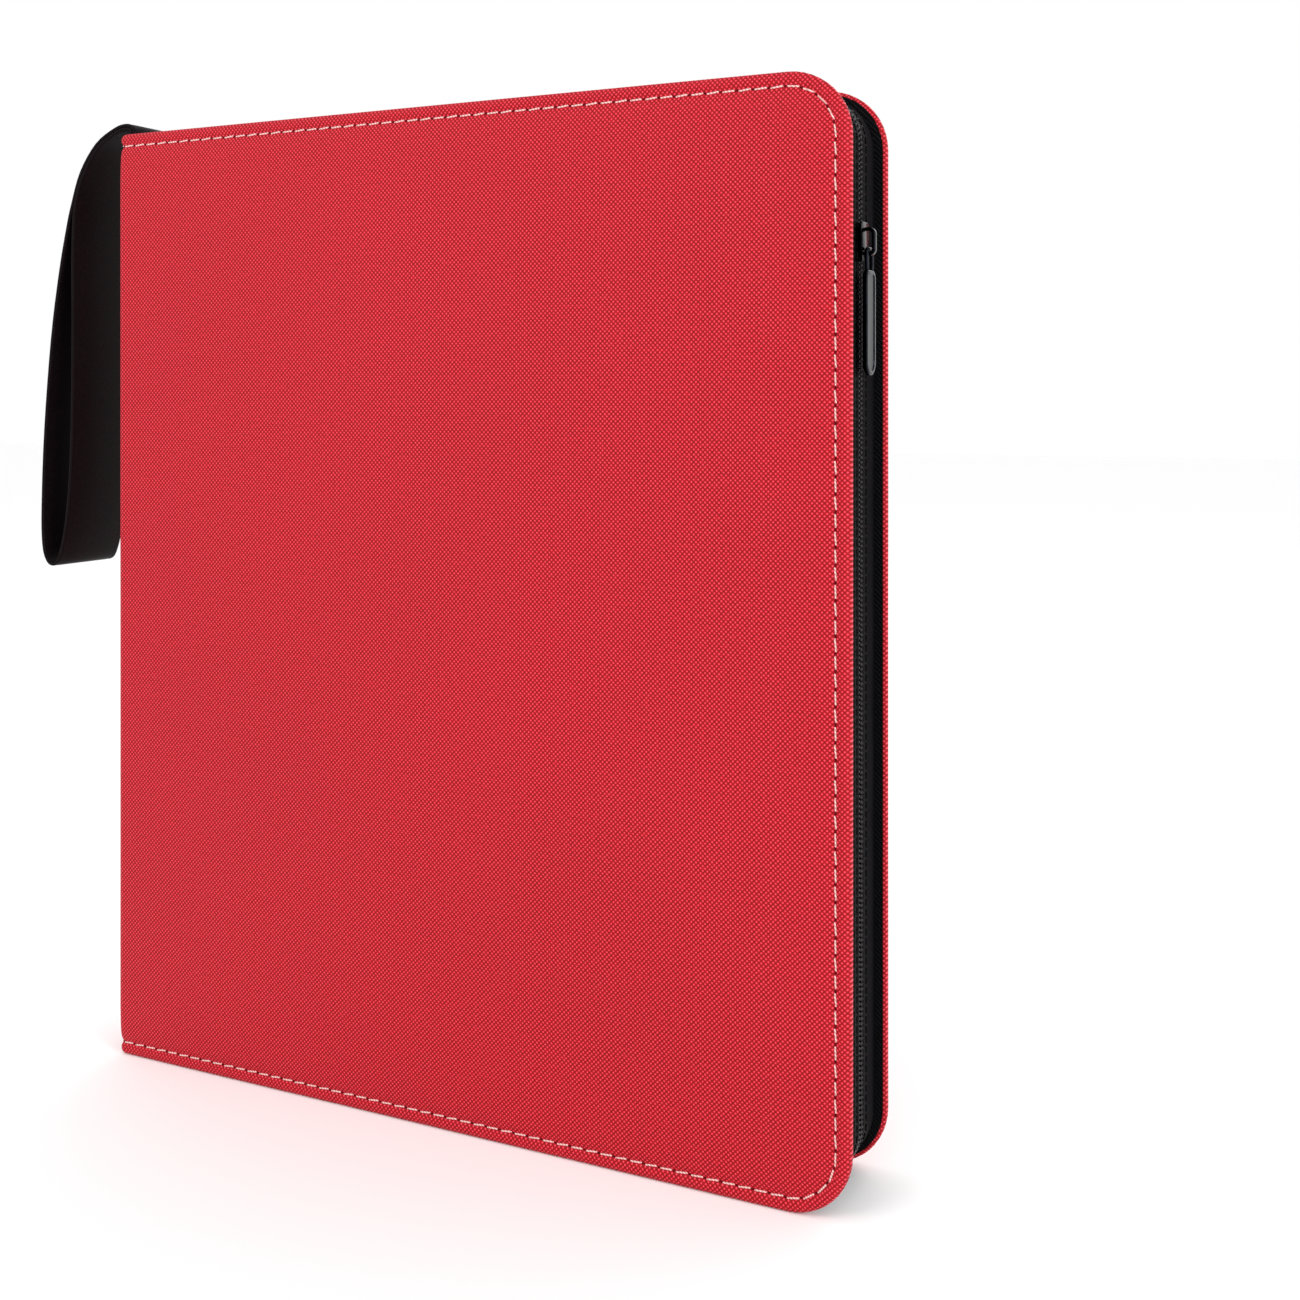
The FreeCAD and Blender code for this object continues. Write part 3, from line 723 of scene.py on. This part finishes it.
# %% Strap line
STRAP_LINE = (
    (0.7, 340.3), (0.6, 341.6), (-0.2, 343.15), (-3.3, 344.25), (-8.65, 343.2), (-17.85, 338.1),
    (-25.7, 328.1), (-30.2, 316.2), (-32.8, 307.0), (-36.6, 290.0), (-40.7, 265.0), (-44.2, 230.0),
    (-45.6, 200.0), (-45.2, 186.2), (-43.3, 180.4), (-40.4, 178.7), (-37.2, 181.2), (-34.0, 192.0),
    (-31.6, 210.0), (-30.4, 235.0), (-30.0, 270.0), (-30.1, 297.0), (-29.0, 315.8),
    (-24.5, 327.5), (-17.0, 337.1), (-8.15, 342.0), (-3.3, 342.95), (-1.2, 342.4), (-0.65, 341.4),
    (-0.6, 340.3))
STRAP_WIDE = 30.0
STRAP_THICK = 1.3
STRAP_STEPS = 4  # pieces of ribbon between two points of the line


def smooth_line(points, steps):
    """Points on a smooth curve that passes through every given point."""
    padded = [points[0], *points, points[-1]]
    line = []
    for a, b, c, d in zip(padded, padded[1:], padded[2:], padded[3:]):
        a, b, c, d = (Vector(p) for p in (a, b, c, d))
        for i in range(steps):
            t = i / steps
            line.append(0.5 * (2 * b + (c - a) * t + (2 * a - 5 * b + 4 * c - d) * t ** 2
                               + (3 * b - a - 3 * c + d) * t ** 3))
    return line + [Vector(points[-1])]


strap_pu, tree, shader = new_material("soft_polyurethane_black")
place = add_node(tree, "ShaderNodeTexCoord")
leather = add_node(tree, "ShaderNodeTexVoronoi", {"feature": "F1"}, {
    "Vector": place.outputs["Object"], "Scale": 1 / 0.0011})
smear = add_node(tree, "ShaderNodeTexNoise", inputs={
    "Vector": place.outputs["Object"], "Scale": 45.0, "Detail": 3.0})
strap_colour = colour_ramp(tree, leather.outputs["Distance"], ((0.0, "#170d10"), (0.6, "#0d0709")))
tree.links.new(strap_colour, shader.inputs["Base Color"])
strap_rough = add_node(tree, "ShaderNodeMapRange", inputs={
    "Value": smear.outputs["Fac"], "To Min": 0.38, "To Max": 0.52})
tree.links.new(strap_rough.outputs[0], shader.inputs["Roughness"])
strap_bump = add_node(tree, "ShaderNodeBump", inputs={
    "Height": leather.outputs["Distance"], "Strength": 0.25, "Distance": 0.0001})
tree.links.new(strap_bump.outputs[0], shader.inputs["Normal"])
shader.inputs["Specular IOR Level"].default_value = 0.06
print("strap line: %d points" % len(STRAP_LINE))

# %% Strap
def ribbon_section(at, heading, wide, thick):
    """Corners of the strap's flat section, with rounded long edges, square to a heading."""
    square = Vector((-heading.y, heading.x))
    w, t = wide / 2, thick / 2
    shape = ((w, 0), (w - 0.18, 0.75 * t), (w - 0.7, t), (w - 2.4, 0.86 * t), (w - 2.9, t),
             (2.9 - w, t), (2.4 - w, 0.86 * t), (0.7 - w, t), (0.18 - w, 0.75 * t), (-w, 0))
    shape += tuple((a, -b) for a, b in shape[-2:0:-1])
    return [Vector((at.x + square.x * b, a, at.y + square.y * b)) for a, b in shape]


line = smooth_line(STRAP_LINE, STRAP_STEPS)
bm = bmesh.new()
rings = []
for i, point in enumerate(line):
    ahead, behind = line[min(i + 1, len(line) - 1)], line[max(i - 1, 0)]
    loop = [bm.verts.new(p) for p in
            ribbon_section(point, (ahead - behind).normalized(), STRAP_WIDE, STRAP_THICK)]
    rings.append([bm.edges.new((a, b)) for a, b in zip(loop, loop[1:] + loop[:1])])
for one, two in zip(rings, rings[1:]):
    bmesh.ops.bridge_loops(bm, edges=one + two)
bmesh.ops.holes_fill(bm, edges=[e for e in bm.edges if e.is_boundary], sides=0)
strap = finish_piece("wrist_strap", bm, strap_pu, sharp=60)
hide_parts("hand_strap")
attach(strap, "strap")
print("strap ribbon %.0f mm long" % sum((b - a).length for a, b in zip(line, line[1:])))

# %% Strap seam
TACK_PLACE = (-31.7, 313.2)  # X and Z, on the strap's outer face where the loop closes
TACK_COUNT, TACK_PITCH = 9, 3.0
TACK_STITCH = (0.5, 2.1, 0.5)
bm = bmesh.new()
for i in range(TACK_COUNT):
    across = TACK_PITCH * (i - (TACK_COUNT - 1) / 2)
    add_block(bm, TACK_STITCH, Matrix.Translation((TACK_PLACE[0], across, TACK_PLACE[1])))
soften(bm, 0.15)
tack = finish_piece("strap_tack", bm, black_thread)
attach(tack, "strap")

# %% [markdown]
# ## Metal finishes
# The ring mechanism is pressed and wire-formed steel with a bright nickel-chrome plate: a
# mirror with a very faint bluish haze. The slider and pull are zinc castings in a glossy
# dark gunmetal plate. The tone and gloss of both drift a little over a surface.

# %% Metals
def plated_metal(name, dark, light, rough_low, rough_high, grit):
    """A plated metal whose tone and roughness drift a little over the surface."""
    material, tree, shader = new_material(name)
    place = add_node(tree, "ShaderNodeTexCoord")
    haze = add_node(tree, "ShaderNodeTexNoise", inputs={
        "Vector": place.outputs["Object"], "Scale": 1 / (grit * MM), "Detail": 3.0})
    colour = colour_ramp(tree, haze.outputs["Fac"], ((0.3, dark), (0.7, light)))
    tree.links.new(colour, shader.inputs["Base Color"])
    rough = add_node(tree, "ShaderNodeMapRange", inputs={
        "Value": haze.outputs["Fac"], "To Min": rough_low, "To Max": rough_high})
    tree.links.new(rough.outputs[0], shader.inputs["Roughness"])
    bump = add_node(tree, "ShaderNodeBump", inputs={
        "Height": haze.outputs["Fac"], "Strength": 0.04, "Distance": 0.00005})
    tree.links.new(bump.outputs[0], shader.inputs["Normal"])
    shader.inputs["Metallic"].default_value = 1.0
    return material


chrome = plated_metal("chrome_plated_steel", "#b9bec4", "#d5d8dc", 0.06, 0.14, 9.0)
wire_chrome = plated_metal("chrome_plated_wire", "#c0c4c9", "#dadde0", 0.04, 0.10, 4.0)
gunmetal = plated_metal("gunmetal_plated_zinc", "#0b0c10", "#1b1e25", 0.12, 0.24, 3.0)

# %% [markdown]
# ## Metal pieces
# The CAD shapes are right for the metal pieces, but pressed and cast ones have knife-sharp
# edges. Each of those is copied, its triangles are joined into flat faces, and its sharp edges
# get a small bevel that catches the light, as the plating's build-up does. The wire, pins,
# rivets and hidden blades keep their CAD meshes and take only a plate.

# %% Metal pieces
SHARP_ANGLE = math.radians(30)


def merged_copy(node):
    """A bmesh copy of a CAD node in mm, with its triangles joined into whole flat faces."""
    bm = bmesh.new()
    bm.from_mesh(bpy.data.objects[node].data)
    bmesh.ops.scale(bm, vec=(1 / MM,) * 3, verts=bm.verts)
    bmesh.ops.remove_doubles(bm, verts=bm.verts, dist=0.001)
    bmesh.ops.dissolve_limit(bm, angle_limit=math.radians(1), verts=bm.verts, edges=bm.edges)
    return bm


def refined(node, width, material, body, segments=2):
    """A copy of a CAD node with its sharp edges bevelled, standing for that node."""
    bm = merged_copy(node)
    sharp = [e for e in bm.edges
             if len(e.link_faces) == 2 and e.calc_face_angle() > SHARP_ANGLE]
    bmesh.ops.bevel(bm, geom=sharp, offset=width, offset_type="OFFSET", segments=segments,
                    profile=0.5, affect="EDGES", material=-1, clamp_overlap=True)
    piece = finish_piece(node + "_plated", bm, material, sharp=35)
    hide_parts(node)
    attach(piece, body)


refined("ring_housing", 0.18, chrome, "spine")
refined("bottom_lever", 0.3, chrome, "bottom_lever")
refined("top_lever", 0.3, chrome, "top_lever")
refined("slider_body", 0.22, gunmetal, "zip_slider")
refined("slider_bail", 0.3, gunmetal, "zip_slider", 3)
refined("front_zip_stops", 0.25, gunmetal, "front_cover")
refined("back_zip_stops", 0.25, gunmetal, "back_cover")
for node, material in (
    ("ring_rivets", chrome), ("lever_pins", chrome), ("front_blade", chrome),
    ("back_blade", chrome), ("front_half_rings", wire_chrome), ("back_half_rings", wire_chrome),
    ("pull_link", gunmetal),
):
    part = bpy.data.objects[node]
    if not part.material_slots:
        part.data.materials.append(material)
    for entry in part.material_slots:
        entry.material = material
print("metal pieces finished")

# %% [markdown]
# ## Pull tab
# The pull is a long cast tab with a rounded end. Its outer face has a raised rim round a
# shallow sunk panel, which is what makes its highlight break into facets.

# %% Pull tab
SHOULDER = 2.6   # radius of the corners at the link's end
TAB_CORE = 0.9   # thickness of the tab between its rounded edges
TAB_BACK = 0.28  # how far the back face's rounding stands behind the core
tab_low, tab_high = (Vector(v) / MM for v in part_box("pull_tab"))
tab_wide, tab_long = tab_high.y - tab_low.y, tab_high.z - tab_low.z
bm = bmesh.new()
corners = flat_sheet(bm, tab_wide, tab_long)
round_corners(bm, [v for v in corners if v.co.y < 0], tab_wide / 2 - 0.01, 10)
bmesh.ops.remove_doubles(bm, verts=bm.verts, dist=0.1)
round_corners(bm, [v for v in bm.verts if v.co.y > tab_long / 2 - 0.01], SHOULDER, 5)
base = bm.faces[:][0]
top = extrude(bm, [base], (0, 0, TAB_CORE))[0]
bmesh.ops.recalc_face_normals(bm, faces=bm.faces)
for face, steps in (
    (top, ((0.12, 0.2), (0.25, 0.12), (0.7, 0.0), (0.3, -0.3), (0.5, -0.03))),
    (base, ((0.12, 0.18), (0.25, 0.10), (0.7, 0.0))),
):
    for width, depth in steps:
        bmesh.ops.inset_region(bm, faces=[face], thickness=width, depth=depth,
                               use_even_offset=True)
for vert in bm.verts:
    vert.co = Vector((tab_low.x + TAB_BACK + vert.co.z, vert.co.x, vert.co.y))
bmesh.ops.translate(bm, vec=(0, 0, (tab_low.z + tab_high.z) / 2), verts=bm.verts)
tab = finish_piece("pull_tab_cast", bm, gunmetal, sharp=28)
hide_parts("pull_tab")
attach(tab, "zip_pull")

# %% [markdown]
# ## Pages
# Each page is two films of clear polypropylene, welded along dashed lines into nine pockets,
# with a punched strip of thicker pale film on the rings. The film is thin and smooth, so it is
# a see-through shader with a little tint. The welds and the strip are drawn from a UV in
# millimetres that starts at each page's own bound edge, so one material serves all pages.

# %% Pocket film
POCKET_X = 71.0     # pitch of the pockets along the page
POCKET_Z = 96.0     # pitch of the pockets up the page
BOUND_STRIP = 20.0  # width of the punched strip
PAGE_BOTTOM = 24.0
WELD_HALF, WELD_INSET = 0.9, 2.0  # half width of a weld, and the lowest one's height
DASH_PITCH, DASH_HALF = 4.0, 1.3


def near_line(tree, value, pitch, offset, width):
    """1 within width of the lines at offset + k * pitch, otherwise 0."""
    shifted = add_node(tree, "ShaderNodeMath", {"operation": "SUBTRACT"}, {0: value, 1: offset})
    folded = add_node(tree, "ShaderNodeMath", {"operation": "PINGPONG"},
                      {0: shifted.outputs[0], 1: pitch / 2})
    return add_node(tree, "ShaderNodeMath", {"operation": "LESS_THAN"},
                    {0: folded.outputs[0], 1: width}).outputs[0]


def joined(tree, operation, one, two):
    """Two values put together by a maths operation, kept between 0 and 1."""
    return add_node(tree, "ShaderNodeMath", {"operation": operation, "use_clamp": True},
                    {0: one, 1: two}).outputs[0]


film, tree, shader = new_material("polypropylene_pocket_film")
page_uv = add_node(tree, "ShaderNodeUVMap", {"uv_map": "page"})
split = add_node(tree, "ShaderNodeSeparateXYZ", inputs={"Vector": page_uv.outputs[0]})
along, up = split.outputs["X"], split.outputs["Y"]
upright = near_line(tree, along, POCKET_X, BOUND_STRIP, WELD_HALF)
level = near_line(tree, up, POCKET_Z, WELD_INSET, WELD_HALF)
dash_up = near_line(tree, up, DASH_PITCH, 0.0, DASH_HALF)
dash_along = near_line(tree, along, DASH_PITCH, 0.0, DASH_HALF)
welds = joined(tree, "ADD", joined(tree, "MULTIPLY", upright, dash_up),
               joined(tree, "MULTIPLY", level, dash_along))
strip = add_node(tree, "ShaderNodeMath", {"operation": "LESS_THAN"},
                 {0: along, 1: BOUND_STRIP - 0.6}).outputs[0]
cloud = add_node(tree, "ShaderNodeTexNoise", inputs={
    "Vector": page_uv.outputs[0], "Scale": 0.05, "Detail": 3.0})
solid = joined(tree, "ADD", joined(tree, "MULTIPLY", welds, 0.45),
               joined(tree, "MULTIPLY", strip, 0.62))
cloud_share = joined(tree, "MULTIPLY", cloud.outputs["Fac"], 0.08)
alpha = joined(tree, "ADD", joined(tree, "ADD", solid, cloud_share), 0.05)
tree.links.new(alpha, shader.inputs["Alpha"])
zone = joined(tree, "ADD", strip, joined(tree, "MULTIPLY", welds, 0.5))
film_colour = colour_ramp(tree, zone, ((0.0, "#d3e3ea"), (0.5, "#e9f3f6"), (1.0, "#b9e2ea")))
tree.links.new(film_colour, shader.inputs["Base Color"])
film_rough = add_node(tree, "ShaderNodeMapRange", inputs={
    "Value": cloud.outputs["Fac"], "To Min": 0.10, "To Max": 0.24})
tree.links.new(film_rough.outputs[0], shader.inputs["Roughness"])
shader.inputs["IOR"].default_value = 1.49
shader.inputs["Specular IOR Level"].default_value = 0.35

# %% Pages
PAGES = range(1, 9)
for i in PAGES:
    node = "page_%d" % i
    bound_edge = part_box(node)[0][0] / MM
    bm = merged_copy(node)
    layer = bm.loops.layers.uv.new("page")
    for face in bm.faces:
        for loop in face.loops:
            loop[layer].uv = (loop.vert.co.x - bound_edge, loop.vert.co.z - PAGE_BOTTOM)
    sleeve = finish_piece(node + "_film", bm, film, smooth=False)
    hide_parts(node)
    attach(sleeve, "leaf_%d" % i)

# %% [markdown]
# ## Cards
# Each pocket holds one standard card, 63.5 by 88.9 mm with 3 mm corners. The art is generic:
# a dark border, a coloured frame, a picture window with a misty abstract pattern and a plain
# panel below it, with no figures and no letters. A number stored on each card's corners picks
# its colours and its part of the pattern, so a page looks like a mixed collection.

# %% Card print
cards, tree, shader = new_material("coated_card_stock")
card_uv = add_node(tree, "ShaderNodeUVMap", {"uv_map": "card"})
kind_uv = add_node(tree, "ShaderNodeUVMap", {"uv_map": "kind"})
split = add_node(tree, "ShaderNodeSeparateXYZ", inputs={"Vector": card_uv.outputs[0]})
kind = add_node(tree, "ShaderNodeSeparateXYZ", inputs={"Vector": kind_uv.outputs[0]})
own_place = add_node(tree, "ShaderNodeVectorMath", {"operation": "MULTIPLY_ADD"}, {
    0: kind_uv.outputs[0], 1: (700.0, 0.0, 0.0), 2: card_uv.outputs[0]})
glow = add_node(tree, "ShaderNodeTexNoise", inputs={
    "Vector": own_place.outputs[0], "Scale": 0.07, "Detail": 5.0, "Distortion": 0.8})
height_share = add_node(tree, "ShaderNodeMath", {"operation": "MULTIPLY_ADD"},
                        {0: split.outputs["Y"], 1: 0.016, 2: -0.32})
picture = joined(tree, "ADD", height_share.outputs[0],
                 joined(tree, "MULTIPLY", glow.outputs["Fac"], 1.15))
art = colour_ramp(tree, picture, (
    (0.15, "#10181c"), (0.4, "#2f5d4a"), (0.65, "#8fae6a"), (0.95, "#e8dfa8")))
art_hue = add_node(tree, "ShaderNodeHueSaturation", inputs={
    "Color": art, "Hue": kind.outputs["X"], "Saturation": 0.9})
frame_hue = add_node(tree, "ShaderNodeHueSaturation", inputs={
    "Color": srgb("#5d6b52"), "Hue": kind.outputs["X"]})


def inside_window(x0, x1, z0, z1):
    """1 inside a rectangle of the card, in mm from its middle."""
    parts = [joined(tree, "GREATER_THAN", split.outputs["X"], x0),
             joined(tree, "LESS_THAN", split.outputs["X"], x1),
             joined(tree, "GREATER_THAN", split.outputs["Y"], z0),
             joined(tree, "LESS_THAN", split.outputs["Y"], z1)]
    return joined(tree, "MULTIPLY", joined(tree, "MULTIPLY", parts[0], parts[1]),
                  joined(tree, "MULTIPLY", parts[2], parts[3]))


def painted_over(below, above, share):
    """One colour painted over another where share is 1."""
    return add_node(tree, "ShaderNodeMix", {"data_type": "RGBA"}, {
        "Factor": share, 6: below, 7: above}).outputs[2]


frame_window = inside_window(-28.6, 28.6, -41.3, 41.3)
picture_window = inside_window(-25.5, 25.5, -1.0, 34.0)
panel_window = inside_window(-25.5, 25.5, -37.5, -5.0)
paper = painted_over(srgb("#1d1b19"), frame_hue.outputs[0], frame_window)
paper = painted_over(paper, art_hue.outputs[0], picture_window)
paper = painted_over(paper, srgb("#c9c3ae"), panel_window)
tree.links.new(paper, shader.inputs["Base Color"])
card_rough = add_node(tree, "ShaderNodeMapRange", inputs={
    "Value": glow.outputs["Fac"], "To Min": 0.22, "To Max": 0.4})
tree.links.new(card_rough.outputs[0], shader.inputs["Roughness"])

# %% Cards
CARD_WIDE, CARD_TALL, CARD_THICK, CARD_CORNER = 63.5, 88.9, 0.34, 3.0
HUES = (  # a card's turn of hue, where 0.5 leaves the colours as they are
    0.50, 0.62, 0.08, 0.36, 0.93, 0.55, 0.22, 0.75, 0.44)
for i in PAGES:
    low, high = (Vector(v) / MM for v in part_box("cards_%d" % i))
    bm = bmesh.new()
    card_layer = bm.loops.layers.uv.new("card")
    kind_layer = bm.loops.layers.uv.new("kind")
    for row in range(3):
        for column in range(3):
            centre = Vector((low.x + CARD_WIDE / 2 + column * POCKET_X, (low.y + high.y) / 2,
                             low.z + CARD_TALL / 2 + row * POCKET_Z))
            before = set(bm.faces)
            corners = flat_sheet(bm, CARD_WIDE, CARD_TALL)
            round_corners(bm, corners, CARD_CORNER, 3)
            extrude(bm, [f for f in bm.faces if f not in before], (0, 0, CARD_THICK))
            fresh = [f for f in bm.faces if f not in before]
            hue = HUES[(row * 3 + column + i * 4) % len(HUES)]
            for f in fresh:
                for loop in f.loops:
                    loop[card_layer].uv = (loop.vert.co.x, loop.vert.co.y)
                    loop[kind_layer].uv = (hue, 0.0)
            for vert in {v for f in fresh for v in f.verts}:
                vert.co = Vector((centre.x + vert.co.x,
                                  centre.y + vert.co.z - CARD_THICK / 2, centre.z + vert.co.y))
    deck = finish_piece("cards_%d_printed" % i, bm, cards, smooth=False)
    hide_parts("cards_%d" % i)
    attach(deck, "leaf_%d" % i)
